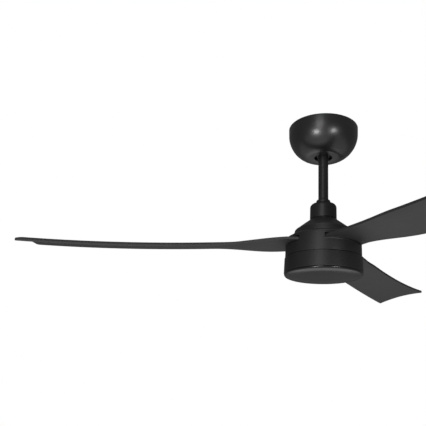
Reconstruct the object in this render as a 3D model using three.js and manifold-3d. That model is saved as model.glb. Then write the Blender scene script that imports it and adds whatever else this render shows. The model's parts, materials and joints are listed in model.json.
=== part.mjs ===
// Three-blade ceiling fan with a light in its stationary lower housing.
// Millimetres, +Z up. The origin is the centre of the hanger bracket's top face, on the ceiling,
// so the whole fan hangs below z = 0. Azimuths are counted from +X towards +Y.
import * as THREE from 'three';
import { mergeVertices } from 'three/addons/utils/BufferGeometryUtils.js';
import Module from 'manifold-3d';

const wasm = await Module();
wasm.setup();

// ---- Driving dimensions ----------------------------------------------------------------------

const GAP = 0.3; // between pieces that touch
const shellSegments = 36;
const smallSegments = 20;
const screwSegments = 8;
const FULL_TURN = 2 * Math.PI;

const bladeCount = 3;
const firstBladeAzimuth = THREE.MathUtils.degToRad(66.7);
const bladeStep = FULL_TURN / bladeCount;

const canopyRimZ = -1;
const canopyRimRadius = 77.6;
const canopySideTaper = 0.3;
const canopySideDepth = 15.5;
const canopyDepth = 67.9;
const canopyFloorRadius = 31.7;
const canopyRoundness = 1.85; // 2 would make its side and floor a quarter of an ellipse
const canopyHoleRadius = 20;
const canopyWall = 1.2;

const plateThickness = 2.5;
const bracketHalfWidth = 22;
const legInnerX = 48.5;
const lipOuterX = 74.5;
const lipHalfWidth = 8;
const canopyScrewZ = -11;
const canopyScrewAzimuths = [THREE.MathUtils.degToRad(168), THREE.MathUtils.degToRad(12)];

const ballCentreZ = -46;
const ballRadius = 24;
const linerInnerRadius = 25;
const linerOuterRadius = 27.2;
const seatInnerRadius = 28.2;
const seatOuterRadius = 30.7;
const seatTop = -6; // below the ball's centre
const seatBottom = -17;

const rodRadius = 11;
const rodBore = 9;
const rodTopZ = -30;
const rodBottomZ = -208;
const leadRadius = 2.2;
const leadOffset = 5.5;

const collarRadius = 15.4;
const collarTopZ = -169.6;
const collarBottomZ = -178.9;
const coverTopZ = -179.2;
const coverBottomZ = -214;
const coverRadius = 29;
const coverWall = 1.2;

const yokeRadius = 16;
const yokeTopZ = -187;
const yokeBottomZ = -226;
const yokePinZ = -197;
const shaftRadius = 10;
const shaftBore = 8.2;
const shaftTopZ = -211;
const shaftBottomZ = -313;

const statorTopZ = -257;
const statorBottomZ = -279;
const statorRadius = 55.5;
const toothCount = 12;
const bellTopZ = -246;
const bellBottomZ = -291;
const bellRadius = 61;
const bellWall = 2.5;
const bearingSeatRadius = 17.3;
const flangeRadius = 78;
const flangeTopZ = -276.3;
const flangeThickness = 3;
const magnetThickness = 1.9;

const housingNeckRadius = 30;
const housingNeckZ = -215.5;
const housingRadius = 82.6;
const housingWall = 1.8;
const shoulderInner = { radius: 65.3, z: -251.7 };
const shoulderOuter = { radius: 82.1, z: -261.7 };
const housingBottomZ = -302.5;
const slotLeadingY = -46.8;
const slotTrailingY = 59.2;
const slotTopZ = -267;
const slotBottomZ = -279;
const postRadius = 4;
const postOrbit = 71;
const postAngle = THREE.MathUtils.degToRad(68); // from the blade before it

const skirtTopZ = -303.5;
const skirtTopRadius = 83.9;
const skirtBottomZ = -336.5;
const skirtBottomRadius = 85.1;
const skirtWall = 2;
const basePlateTopZ = -305;
const basePlateBottomZ = -307;
const basePlateRadius = 79.8;
const lugOrbit = 75;
const trayTopZ = -319.5;
const trayBottomZ = -321;
const trayRadius = 72;
const ledBoardRadius = 62;
const ledBoardThickness = 1.6;
const lensRadius = 84.6;
const lensUpstandRadius = 79.2;
const lensTopZ = -326;
const lensFlangeTopZ = -336.9;
const lensLowestZ = -342.6;
const bayonetCount = 3;
const bayonetSpan = THREE.MathUtils.degToRad(24);

const bladeOffset = 9.2; // its centreline runs beside the radius, on the trailing side
const bladeInnerRadius = 65;
const bladeRootX = 30;
const bladeWallX = 82;
const bladeTipX = 645;
const bladeRootHalfWidth = 47.4;
const bladeRootFlare = 7; // extra width on the leading side
const flareFadeStart = 110;
const flareFadeEnd = 210;
const bladeTipHalfWidth = 66.8;
const bladeWaist = 5.7; // how far its edges curve in, halfway out
const bladeThickness = 5.8;
const bladeRootZ = -273.1;
const bladeTipZ = -280.6;
const bladeSag = 9.1;
const bladePitch = THREE.MathUtils.degToRad(11.9);
const bladeCamber = 6;
const bladeTwistStart = 86;
const bladeTwistEnd = 246;
const bladeTipSkew = 0.078;
const leadingCornerRadius = 9;
const trailingCornerRadius = 5;
const bladeScrewOrbit = 72;
const bladeScrewAngles = [-16, 7.5, 31].map(THREE.MathUtils.degToRad);

// ---- Materials -------------------------------------------------------------------------------

function finish(color, roughness, metalness) {
  return new THREE.MeshStandardMaterial({ color, roughness, metalness });
}

const canopyBlack = finish(0x19191b, 0.34, 0.6);
const rodBlack = finish(0x151516, 0.45, 0.5);
const housingBlack = finish(0x161617, 0.5, 0.3);
const bladeBlack = finish(0x1f1f20, 0.6, 0);
const diffuserBlack = finish(0x232326, 0.4, 0);
const zincSteel = finish(0xa9abad, 0.35, 1);
const plainSteel = finish(0x7d7f82, 0.5, 1);
const blackSteel = finish(0x1e1e1f, 0.6, 0.5);
const blackOxide = finish(0x242426, 0.5, 0.8);
const siliconSteel = finish(0x5b5e63, 0.6, 0.9);
const copperEnamel = finish(0x9a4b23, 0.4, 0.7);
const ferrite = finish(0x2e2d2c, 0.8, 0.1);
const nylonWhite = finish(0xd8d6cf, 0.6, 0);
const nylonBlack = finish(0x1d1d1d, 0.6, 0);
const rubberBlack = finish(0x141414, 0.9, 0);
const boardGreen = finish(0x1c5b34, 0.5, 0);
const boardWhite = finish(0xe7e7e2, 0.5, 0);
const aluminium = finish(0xb9bcc0, 0.4, 1);
const cableGrey = finish(0x6c6e70, 0.7, 0);

// ---- Geometry helpers ------------------------------------------------------------------------

// A closed solid for cutting and joining, from any closed three.js geometry.
function solidOf(geometry) {
  const bare = geometry.clone();
  bare.deleteAttribute('normal');
  bare.deleteAttribute('uv');
  const merged = mergeVertices(bare, 1e-4);
  const position = merged.getAttribute('position');
  const index = merged.getIndex().array;
  const corner = (i) => new THREE.Vector3().fromBufferAttribute(position, i);
  const triangles = [];
  let volume = 0;
  for (let i = 0; i < index.length; i += 3) {
    const [a, b, c] = [index[i], index[i + 1], index[i + 2]];
    if (a === b || b === c || c === a) continue;
    triangles.push(a, b, c);
    volume += corner(a).dot(corner(b).cross(corner(c)));
  }
  if (volume < 0) triangles.reverse();
  return new wasm.Manifold(new wasm.Mesh({
    numProp: 3,
    vertProperties: new Float32Array(position.array),
    triVerts: new Uint32Array(triangles),
  }));
}

function geometryOf(solid) {
  const mesh = solid.getMesh();
  const geometry = new THREE.BufferGeometry();
  geometry.setAttribute('position', new THREE.BufferAttribute(mesh.vertProperties, 3));
  geometry.setIndex(new THREE.BufferAttribute(mesh.triVerts, 1));
  geometry.computeVertexNormals();
  return geometry;
}

function cut(body, ...tools) {
  return tools.reduce((rest, tool) => rest.subtract(tool), body);
}

function join(body, ...others) {
  return others.reduce((whole, other) => whole.add(other), body);
}

// A solid of revolution about Z, from a closed outline of [radius, z] corners.
function turned(outline, segments = smallSegments) {
  const points = outline.map(([radius, z]) => new THREE.Vector2(radius, z));
  points.push(points[0].clone());
  const lathe = new THREE.LatheGeometry(points, segments);
  lathe.rotateX(Math.PI / 2);
  return solidOf(lathe);
}

function ring(innerRadius, outerRadius, lowZ, highZ, segments = smallSegments) {
  const outline = [[innerRadius, lowZ], [outerRadius, lowZ], [outerRadius, highZ], [innerRadius, highZ]];
  return turned(outline, segments);
}

function rodAlongZ(radius, lowZ, highZ, segments = 10) {
  const cylinder = new THREE.CylinderGeometry(radius, radius, highZ - lowZ, segments);
  cylinder.rotateX(Math.PI / 2);
  cylinder.translate(0, 0, (lowZ + highZ) / 2);
  return solidOf(cylinder);
}

function rodAlongX(radius, lowX, highX, z, segments = 10) {
  const cylinder = new THREE.CylinderGeometry(radius, radius, highX - lowX, segments);
  cylinder.rotateZ(Math.PI / 2);
  cylinder.translate((lowX + highX) / 2, 0, z);
  return solidOf(cylinder);
}

function rodAlongY(radius, lowY, highY, z, segments = 10) {
  const cylinder = new THREE.CylinderGeometry(radius, radius, highY - lowY, segments);
  cylinder.translate(0, (lowY + highY) / 2, z);
  return solidOf(cylinder);
}

function block(low, high) {
  const box = new THREE.BoxGeometry(high[0] - low[0], high[1] - low[1], high[2] - low[2]);
  box.translate((low[0] + high[0]) / 2, (low[1] + high[1]) / 2, (low[2] + high[2]) / 2);
  return solidOf(box);
}

function extruded(shape, lowZ, highZ, curveSegments = 6) {
  const options = { depth: highZ - lowZ, bevelEnabled: false, curveSegments };
  const prism = new THREE.ExtrudeGeometry(shape, options);
  prism.translate(0, 0, lowZ);
  return solidOf(prism);
}

// Part of a flat ring, centred on an azimuth.
function arcPiece(innerRadius, outerRadius, azimuth, span, lowZ, highZ) {
  const shape = new THREE.Shape();
  shape.absarc(0, 0, outerRadius, azimuth - span / 2, azimuth + span / 2, false);
  shape.absarc(0, 0, innerRadius, azimuth + span / 2, azimuth - span / 2, true);
  shape.closePath();
  return extruded(shape, lowZ, highZ, 5);
}

function spun(solid, azimuth) {
  return solid.rotate([0, 0, THREE.MathUtils.radToDeg(azimuth)]);
}

function moved(solid, x, y, z) {
  return solid.translate([x, y, z]);
}

// Height above or below a sphere's centre gives the radius of its slice.
function sliceRadius(sphereRadius, height) {
  return Math.sqrt(sphereRadius ** 2 - height ** 2);
}

function sphereSlices(sphereRadius, fromHeight, toHeight, steps) {
  const slices = [];
  for (let i = 0; i <= steps; i += 1) {
    const height = THREE.MathUtils.lerp(fromHeight, toHeight, i / steps);
    slices.push([sliceRadius(sphereRadius, height), ballCentreZ + height]);
  }
  return slices;
}

// A pan-head screw that points up, with its head's top face at z = 0.
function screw(shankRadius, headRadius, headHeight, length) {
  return turned([
    [0, -headHeight],
    [headRadius * 0.8, -headHeight],
    [headRadius, 0],
    [shankRadius, 0],
    [shankRadius, length],
    [0, length],
  ], screwSegments);
}

// ---- Ceiling mount ---------------------------------------------------------------------------

function hangerBracket() {
  const topPlate = block([-58, -bracketHalfWidth, -plateThickness], [58, bracketHalfWidth, 0]);
  const receiverTongue = block([-12, 0, -plateThickness], [12, 50, 0]);
  const cradleZ = ballCentreZ - 12;
  const cradle = block([-51, -16, cradleZ], [51, 16, cradleZ + 3]);
  const seat = turned([
    ...sphereSlices(seatInnerRadius, seatBottom, seatTop, 3),
    ...sphereSlices(seatOuterRadius, seatTop, seatBottom, 3),
  ]);
  const seatHole = rodAlongZ(27.5, cradleZ - 1, cradleZ + 4, smallSegments);
  let bracket = join(topPlate, receiverTongue, cut(cradle, seatHole), seat);
  for (const side of [-1, 1]) {
    const legX = side * (legInnerX + plateThickness / 2);
    const half = plateThickness / 2;
    const leg = block([legX - half, -16, cradleZ], [legX + half, 16, 0]);
    const boxSlot = block([side * 36 - 3, -12, -10], [side * 36 + 3, 12, 10]);
    bracket = cut(join(bracket, leg), boxSlot);
  }
  for (const azimuth of canopyScrewAzimuths) {
    const strap = block([44, -lipHalfWidth, -plateThickness], [lipOuterX, lipHalfWidth, 0]);
    const lip = block([lipOuterX - plateThickness, -lipHalfWidth, -19], [lipOuterX, lipHalfWidth, 0]);
    const lipHole = rodAlongX(2.3, 70, 80, canopyScrewZ);
    bracket = join(bracket, spun(cut(join(strap, lip), lipHole), azimuth));
  }
  const wireHole = moved(rodAlongZ(7, -10, 10, 16), -17, 0, 0);
  const earthHole = moved(rodAlongZ(2.3, -10, 10), -17, 15, 0);
  const rodEntry = block([-13, 0, -70], [13, 40, -50]);
  return cut(bracket, wireHole, earthHole, rodEntry);
}

function canopySurface(inset, steps) {
  const points = [];
  const sideRadius = canopyRimRadius - canopySideTaper;
  const curveHeight = canopyDepth - canopySideDepth;
  for (let i = 0; i <= steps; i += 1) {
    const angle = (i / steps) * Math.PI / 2;
    const across = Math.cos(angle) ** (2 / canopyRoundness);
    const down = Math.sin(angle) ** (2 / canopyRoundness);
    points.push([
      canopyFloorRadius + (sideRadius - canopyFloorRadius - inset) * across,
      canopyRimZ - canopySideDepth - (curveHeight - inset) * down,
    ]);
  }
  return points;
}

function canopy() {
  const outer = canopySurface(0, 6);
  const inner = canopySurface(canopyWall, 6);
  let shell = turned([
    [canopyHoleRadius, canopyRimZ - canopyDepth],
    ...outer.reverse(),
    [canopyRimRadius, canopyRimZ],
    [canopyRimRadius - canopyWall, canopyRimZ],
    ...inner,
    [canopyHoleRadius, canopyRimZ - canopyDepth + canopyWall],
  ], shellSegments);
  for (const azimuth of canopyScrewAzimuths) {
    shell = cut(shell, spun(rodAlongX(2.4, 60, 90, canopyScrewZ), azimuth));
  }
  return shell;
}

function canopyScrew(azimuth) {
  const inward = screw(2, 4, 1.6, 8).rotate([0, -90, 0]);
  return spun(moved(inward, canopyRimRadius + GAP, 0, canopyScrewZ), azimuth);
}

function terminalBlock() {
  let body = block([8, -17, -14], [26, 17, -plateThickness - GAP]);
  for (const y of [-10, 0, 10]) {
    body = cut(body, moved(rodAlongX(2.4, 6, 15, -9, 8), 0, y, 0));
    body = cut(body, moved(rodAlongZ(2, -15, -11, 8), 20, y, 0));
  }
  return body;
}

function remoteReceiver() {
  const shape = new THREE.Shape();
  shape.moveTo(-29, 33);
  shape.lineTo(29, 33);
  shape.lineTo(31, 35);
  shape.lineTo(31, 59);
  shape.lineTo(27, 63);
  shape.lineTo(-27, 63);
  shape.lineTo(-31, 59);
  shape.lineTo(-31, 35);
  shape.closePath();
  const box = extruded(shape, -24, -plateThickness - GAP);
  const leadBoss = moved(rodAlongY(4, 28, 34, -13), 20, 0, 0);
  return join(box, leadBoss);
}

function earthScrew() {
  return moved(screw(2, 4, 2, 2.6), -17, 15, -plateThickness - GAP);
}

// ---- Swivel and downrod ----------------------------------------------------------------------

function ballSeatLiner() {
  return turned([
    ...sphereSlices(linerOuterRadius, seatBottom, seatTop, 3),
    ...sphereSlices(linerInnerRadius, seatTop, seatBottom, 3),
  ]);
}

function hangerBall() {
  const ball = turned([
    [rodRadius + GAP, ballCentreZ - 19],
    ...sphereSlices(ballRadius, -19, 12, 6),
    [rodRadius + GAP, ballCentreZ + 12],
  ]);
  const pinHole = rodAlongY(3.3, -40, 40, ballCentreZ);
  const screwHole = rodAlongX(2.3, 8, 40, ballCentreZ + 6);
  return cut(ball, pinHole, screwHole);
}

function ballPin() {
  return rodAlongY(3, -21, 21, ballCentreZ, 12);
}

function ballSetScrew() {
  return rodAlongX(2, rodRadius + GAP, 20, ballCentreZ + 6, 8);
}

function downrod() {
  const tube = ring(rodBore, rodRadius, rodBottomZ, rodTopZ);
  return cut(tube, rodAlongY(3.3, -20, 20, ballCentreZ), rodAlongY(3.3, -20, 20, yokePinZ));
}

function rodLead() {
  return moved(rodAlongZ(leadRadius, shaftBottomZ + 2, rodTopZ - 1, 8), leadOffset, 0, 0);
}

function rodCollar() {
  return turned([
    [rodRadius + GAP, collarBottomZ],
    [collarRadius - 1, collarBottomZ],
    [collarRadius, collarBottomZ + 1.2],
    [collarRadius, collarTopZ - 1.6],
    [collarRadius - 1.6, collarTopZ],
    [rodRadius + GAP, collarTopZ],
  ]);
}

function couplingCover() {
  const shoulder = 8.5;
  const outer = [];
  const inner = [];
  for (const angle of [0, Math.PI / 6, Math.PI / 3, Math.PI / 2]) {
    const across = Math.cos(angle);
    const up = Math.sin(angle);
    outer.push([coverRadius - shoulder + shoulder * across, coverTopZ - shoulder + shoulder * up]);
    const innerShoulder = shoulder - coverWall;
    inner.push([coverRadius - shoulder + innerShoulder * across, coverTopZ - shoulder + innerShoulder * up]);
  }
  return turned([
    [coverRadius + 0.3, coverBottomZ],
    ...outer,
    [rodRadius + 0.5, coverTopZ],
    [rodRadius + 0.5, coverTopZ - coverWall],
    ...inner.reverse(),
    [coverRadius + 0.3 - coverWall, coverBottomZ],
  ]);
}

function yoke() {
  const body = turned([
    [rodRadius + GAP, yokeTopZ],
    [yokeRadius, yokeTopZ],
    [yokeRadius, -214],
    [yokeRadius - 2, yokeBottomZ],
    [shaftRadius + GAP, yokeBottomZ],
    [shaftRadius + GAP, -209.5],
    [rodRadius + GAP, -209.5],
  ]);
  return cut(body, rodAlongY(3.3, -30, 30, yokePinZ), rodAlongX(2.3, -30, 30, yokePinZ - 7));
}

function yokePin() {
  return turned([
    [0, -20], [4.5, -20], [4.5, -17], [3, -17], [3, 20], [0, 20],
  ], 12).rotate([-90, 0, 0]).translate([0, 0, yokePinZ]);
}

function pinClip() {
  const circlip = ring(3.4, 5.4, 17, 18.2, 12);
  return circlip.rotate([-90, 0, 0]).translate([0, 0, yokePinZ]);
}

function yokeScrew(side) {
  const inward = screw(2, 3.6, 3, 4.4).rotate([0, -90 * side, 0]);
  return moved(inward, side * (yokeRadius + GAP), 0, yokePinZ - 7);
}

// ---- Motor -----------------------------------------------------------------------------------

function motorShaft() {
  return ring(shaftBore, shaftRadius, shaftBottomZ, shaftTopZ);
}

function statorCore() {
  const shape = new THREE.Shape();
  const toothPitch = FULL_TURN / toothCount;
  const polar = (radius, angle) => [radius * Math.cos(angle), radius * Math.sin(angle)];
  for (let k = 0; k < toothCount; k += 1) {
    const centre = k * toothPitch;
    const tipHalf = toothPitch * 0.42;
    const corners = [
      polar(25, centre - toothPitch * 0.3),
      polar(50, centre - toothPitch * 0.15),
      polar(52, centre - tipHalf),
      polar(statorRadius, centre - tipHalf),
      polar(statorRadius, centre),
      polar(statorRadius, centre + tipHalf),
      polar(52, centre + tipHalf),
      polar(50, centre + toothPitch * 0.15),
      polar(25, centre + toothPitch * 0.3),
    ];
    for (const [x, y] of corners) {
      if (k === 0 && shape.curves.length === 0 && shape.currentPoint.length() === 0) shape.moveTo(x, y);
      else shape.lineTo(x, y);
    }
  }
  shape.closePath();
  return cut(extruded(shape, statorBottomZ, statorTopZ), rodAlongZ(shaftRadius + GAP, -300, -200, 20));
}

function windingHead(lowZ, highZ) {
  const shape = new THREE.Shape();
  const outlineSteps = toothCount * 4;
  for (let i = 0; i < outlineSteps; i += 1) {
    const angle = (i / outlineSteps) * FULL_TURN;
    const radius = 46 + 3 * Math.cos(toothCount * angle);
    if (i === 0) shape.moveTo(radius, 0);
    else shape.lineTo(radius * Math.cos(angle), radius * Math.sin(angle));
  }
  shape.closePath();
  return cut(extruded(shape, lowZ, highZ), rodAlongZ(28, lowZ - 1, highZ + 1, 24));
}

function rotorBell() {
  const hubTopZ = bellTopZ + 10;
  const flangeBottomZ = flangeTopZ - flangeThickness;
  let bell = turned([
    [bearingSeatRadius, bellTopZ - bellWall],
    [bellRadius - bellWall, bellTopZ - bellWall],
    [bellRadius - bellWall, bellBottomZ],
    [bellRadius, bellBottomZ],
    [bellRadius, flangeBottomZ],
    [flangeRadius, flangeBottomZ],
    [flangeRadius, flangeTopZ],
    [bellRadius, flangeTopZ],
    [bellRadius, bellTopZ],
    [20, bellTopZ],
    [20, hubTopZ],
    [bearingSeatRadius, hubTopZ],
  ], shellSegments);
  for (let k = 0; k < bladeCount; k += 1) {
    const azimuth = firstBladeAzimuth + k * bladeStep;
    for (const angle of bladeScrewAngles) {
      const hole = moved(rodAlongZ(2.3, -290, -260, 8), bladeScrewOrbit, 0, 0);
      bell = cut(bell, spun(hole, azimuth + angle));
    }
    const postHole = moved(rodAlongZ(1.9, -290, -260, 8), postOrbit, 0, 0);
    bell = cut(bell, spun(postHole, azimuth + postAngle));
  }
  return bell;
}

function magnetRing() {
  const outerRadius = bellRadius - bellWall - GAP;
  return ring(outerRadius - magnetThickness, outerRadius, statorBottomZ - 4, statorTopZ + 4, shellSegments);
}

function rotorEndPlate() {
  return turned([
    [bearingSeatRadius, -294.3],
    [bellRadius, -294.3],
    [bellRadius, bellBottomZ - GAP],
    [20, bellBottomZ - GAP],
    [20, -286.5],
    [bearingSeatRadius, -286.5],
  ], shellSegments);
}

function bearing(lowZ, highZ) {
  return turned([
    [shaftRadius + 0.4, lowZ],
    [12.5, lowZ],
    [13, lowZ + 0.6],
    [14.4, lowZ + 0.6],
    [14.9, lowZ],
    [bearingSeatRadius - GAP, lowZ],
    [bearingSeatRadius - GAP, highZ],
    [shaftRadius + 0.4, highZ],
  ]);
}

// ---- Rotating housing and blades -------------------------------------------------------------

function upperHousing() {
  const outer = [
    [housingRadius, housingBottomZ],
    [shoulderOuter.radius, shoulderOuter.z],
    [shoulderInner.radius, shoulderInner.z],
    [62.1, -241.8],
    [60.9, -240.5],
    [housingNeckRadius, -216.3],
    [housingNeckRadius, housingNeckZ],
  ];
  let shell = turned([
    [28.4, housingNeckZ],
    [28.4, -217.4],
    [60, -242.1],
    [60.6, -243],
    [63.7, -253],
    [shoulderOuter.radius - housingWall, -262.9],
    [housingRadius - housingWall, housingBottomZ],
    ...outer,
  ], shellSegments);
  const underShoulder = turned([[0, housingBottomZ], ...outer, [0, housingNeckZ]], shellSegments);
  for (let k = 0; k < bladeCount; k += 1) {
    const azimuth = firstBladeAzimuth + k * bladeStep;
    const slot = block([42, slotLeadingY, slotBottomZ], [95, slotTrailingY, slotTopZ]);
    const tallPost = moved(rodAlongZ(postRadius, flangeTopZ + GAP, -240), postOrbit, 0, 0);
    const pilot = moved(rodAlongZ(1.9, flangeTopZ - 5, flangeTopZ + 12, 8), postOrbit, 0, 0);
    const betweenBlades = azimuth + postAngle;
    const post = spun(tallPost, betweenBlades).intersect(underShoulder);
    shell = cut(shell, spun(slot, azimuth));
    shell = cut(join(shell, post), spun(pilot, betweenBlades));
  }
  return shell;
}

function housingScrew(azimuth) {
  const upward = screw(1.5, 3.2, 1.8, 11);
  return spun(moved(upward, postOrbit, 0, flangeTopZ - flangeThickness - GAP), azimuth);
}

// How far a rounded tip corner draws an edge in, at a distance from the tip.
function cornerInset(distance, radius) {
  if (distance >= radius) return 0;
  return radius - Math.sqrt(radius ** 2 - (radius - distance) ** 2);
}

// One closed slice across the blade: over the top surface and back along the underside.
function bladeSection(x) {
  const outward = THREE.MathUtils.clamp((x - bladeWallX) / (bladeTipX - bladeWallX), 0, 1);
  const twist = THREE.MathUtils.smoothstep(x, bladeTwistStart, bladeTwistEnd);
  const halfway = 4 * outward * (1 - outward);
  const fullHalfWidth = THREE.MathUtils.lerp(bladeRootHalfWidth, bladeTipHalfWidth, outward);
  const halfWidth = fullHalfWidth - bladeWaist * halfway;
  const flare = bladeRootFlare * (1 - THREE.MathUtils.smoothstep(x, flareFadeStart, flareFadeEnd));
  const leading = -halfWidth - flare + cornerInset(bladeTipX - x, leadingCornerRadius);
  const trailing = halfWidth - cornerInset(bladeTipX - x, trailingCornerRadius);
  const middleZ = THREE.MathUtils.lerp(bladeRootZ, bladeTipZ, outward) - bladeSag * halfway;
  const over = [];
  const under = [];
  const chordSteps = 6;
  for (let i = 0; i <= chordSteps; i += 1) {
    const y = THREE.MathUtils.lerp(leading, trailing, i / chordSteps);
    const arch = bladeCamber * twist * (1 - (y / halfWidth) ** 2);
    const z = middleZ - y * Math.tan(bladePitch * twist) + arch;
    const skewedX = x - bladeTipSkew * y * outward;
    const half = bladeThickness / 2;
    over.push(new THREE.Vector3(skewedX, y + bladeOffset, z + half));
    under.push(new THREE.Vector3(skewedX, y + bladeOffset, z - half));
  }
  return [...over, ...under.reverse()];
}

function blade(azimuth) {
  const nearTip = [9, 5, 2, 0.6, 0].map((distance) => bladeTipX - distance);
  const stations = [bladeRootX, bladeWallX, 100, 125, 150, 180, 210, 246, 320, 400, 480, 560, ...nearTip];
  const sections = stations.map(bladeSection);
  const count = sections[0].length;
  const positions = sections.flat().flatMap((point) => [point.x, point.y, point.z]);
  const index = [];
  for (let s = 0; s + 1 < sections.length; s += 1) {
    for (let i = 0; i < count; i += 1) {
      const a = s * count + i;
      const b = s * count + ((i + 1) % count);
      index.push(a, b, b + count, a, b + count, a + count);
    }
  }
  const last = (sections.length - 1) * count;
  for (let i = 0; i + 1 < count / 2; i += 1) {
    const opposite = count - 1 - i;
    index.push(i, opposite, opposite - 1, i, opposite - 1, i + 1);
    index.push(last + i, last + i + 1, last + opposite - 1, last + i, last + opposite - 1, last + opposite);
  }
  const geometry = new THREE.BufferGeometry();
  geometry.setAttribute('position', new THREE.Float32BufferAttribute(positions, 3));
  geometry.setIndex(index);
  let body = solidOf(geometry);
  body = cut(body, rodAlongZ(bladeInnerRadius, -300, -250, shellSegments));
  for (const angle of bladeScrewAngles) {
    body = cut(body, spun(moved(rodAlongZ(2.3, -285, -250, 8), bladeScrewOrbit, 0, 0), angle));
  }
  return spun(body, azimuth);
}

function bladeScrew(azimuth) {
  const headDown = screw(2, 4, 2.2, 9).rotate([180, 0, 0]);
  const seatZ = bladeRootZ + bladeThickness / 2 + GAP;
  return spun(moved(headDown, bladeScrewOrbit, 0, seatZ), azimuth);
}

// ---- Stationary lower housing and light ------------------------------------------------------

function basePlate() {
  let plate = ring(shaftRadius + GAP, basePlateRadius, basePlateBottomZ, basePlateTopZ, shellSegments);
  for (let k = 0; k < bayonetCount; k += 1) {
    const hole = moved(rodAlongZ(1.9, -320, -300, 8), lugOrbit, 0, 0);
    plate = cut(plate, spun(hole, k * FULL_TURN / bayonetCount + Math.PI / 2));
  }
  return plate;
}

function shaftNut() {
  const hexagon = new THREE.CylinderGeometry(15.5, 15.5, 5.4, 6);
  hexagon.rotateX(Math.PI / 2);
  hexagon.translate(0, 0, basePlateBottomZ - GAP - 2.7);
  return cut(solidOf(hexagon), rodAlongZ(shaftRadius + GAP, -330, -300, 20));
}

function skirt() {
  const inset = skirtWall;
  let shell = turned([
    [skirtTopRadius - inset, skirtTopZ],
    [skirtBottomRadius - inset, skirtBottomZ + 0.6],
    [skirtBottomRadius - 1.2, skirtBottomZ],
    [skirtBottomRadius - 0.5, skirtBottomZ],
    [skirtBottomRadius, skirtBottomZ + 0.8],
    [skirtTopRadius, skirtTopZ - 0.6],
    [skirtTopRadius - 0.6, skirtTopZ],
  ], shellSegments);
  for (let k = 0; k < bayonetCount; k += 1) {
    const azimuth = k * FULL_TURN / bayonetCount + Math.PI / 2;
    const lug = block([70, -6, basePlateBottomZ - 2.5], [82.6, 6, basePlateBottomZ - GAP]);
    const hole = moved(rodAlongZ(1.9, -320, -300, 8), lugOrbit, 0, 0);
    const ledge = arcPiece(80, 83.8, azimuth, bayonetSpan, -331, -328.8);
    shell = join(shell, cut(spun(lug, azimuth), spun(hole, azimuth)), ledge);
  }
  return shell;
}

function skirtScrew(azimuth) {
  const upward = screw(1.5, 3.2, 1.8, 4.2);
  return spun(moved(upward, lugOrbit, 0, basePlateBottomZ - 2.5 - GAP), azimuth);
}

function motorController() {
  const boardZ = basePlateTopZ + GAP;
  const board = block([-34, -46, boardZ], [34, -20, boardZ + 1.6]);
  const capacitor = moved(rodAlongX(2.6, -28, -12, boardZ + 4, 10), 0, -38, 0);
  const driverChip = block([-6, -32, boardZ + 1.5], [6, -24, boardZ + 3.6]);
  const inductor = moved(rodAlongZ(5, boardZ + 1.5, boardZ + 5.6, 10), 20, -36, 0);
  return join(board, capacitor, driverChip, inductor);
}

function ledDriver() {
  const top = basePlateBottomZ - GAP;
  const shape = new THREE.Shape();
  shape.moveTo(-30, 19);
  shape.lineTo(30, 19);
  shape.lineTo(32, 21);
  shape.lineTo(32, 41);
  shape.lineTo(30, 43);
  shape.lineTo(-30, 43);
  shape.lineTo(-32, 41);
  shape.lineTo(-32, 21);
  shape.closePath();
  return extruded(shape, top - 10.4, top);
}

function ledTray() {
  let tray = turned([
    [0, trayBottomZ],
    [trayRadius, trayBottomZ],
    [trayRadius, trayTopZ + 2],
    [trayRadius - 1.5, trayTopZ + 2],
    [trayRadius - 1.5, trayTopZ],
    [0, trayTopZ],
  ], shellSegments);
  for (let k = 0; k < bayonetCount; k += 1) {
    const post = moved(rodAlongZ(3.5, trayTopZ - 0.5, basePlateBottomZ - GAP), 60, 0, 0);
    tray = join(tray, spun(post, k * FULL_TURN / bayonetCount + Math.PI / 6));
  }
  return tray;
}

function ledBoard() {
  const top = trayBottomZ - GAP;
  const bottom = top - ledBoardThickness;
  let board = ring(8, ledBoardRadius, bottom, top);
  const ledCount = 12;
  for (let k = 0; k < ledCount; k += 1) {
    const led = block([46, -2.5, bottom - 1.2], [51, 2.5, bottom + 0.4]);
    board = join(board, spun(led, k * FULL_TURN / ledCount));
  }
  return board;
}

function lightCover() {
  let shell = turned([
    [0, lensLowestZ + 2],
    [lensUpstandRadius - 2, lensLowestZ + 3.4],
    [lensUpstandRadius - 2, lensTopZ],
    [lensUpstandRadius, lensTopZ],
    [lensUpstandRadius, lensFlangeTopZ],
    [lensRadius - 0.4, lensFlangeTopZ],
    [lensRadius, lensFlangeTopZ - 0.4],
    [lensRadius, lensFlangeTopZ - 1.3],
    [lensRadius - 0.8, lensFlangeTopZ - 3],
    [lensRadius - 2.6, lensFlangeTopZ - 4.2],
    [lensRadius - 5.6, lensFlangeTopZ - 4.8],
    [lensRadius * 0.6, lensLowestZ + 0.3],
    [0, lensLowestZ],
  ], shellSegments);
  for (let k = 0; k < bayonetCount; k += 1) {
    const azimuth = k * FULL_TURN / bayonetCount + Math.PI / 2;
    shell = join(shell, arcPiece(78.4, 81.2, azimuth, bayonetSpan, -328.4, -326.2));
  }
  return shell;
}

// ---- Assembly --------------------------------------------------------------------------------

const fan = new THREE.Group();

function add(name, solid, material) {
  const mesh = new THREE.Mesh(geometryOf(solid), material);
  mesh.name = name;
  fan.add(mesh);
}

add('hanger_bracket', hangerBracket(), blackSteel);
add('canopy', canopy(), canopyBlack);
add('canopy_screw_left', canopyScrew(canopyScrewAzimuths[0]), blackOxide);
add('canopy_screw_right', canopyScrew(canopyScrewAzimuths[1]), blackOxide);
add('terminal_block', terminalBlock(), nylonWhite);
add('remote_receiver', remoteReceiver(), nylonBlack);
add('earth_screw', earthScrew(), zincSteel);

add('ball_seat_liner', ballSeatLiner(), rubberBlack);

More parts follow.
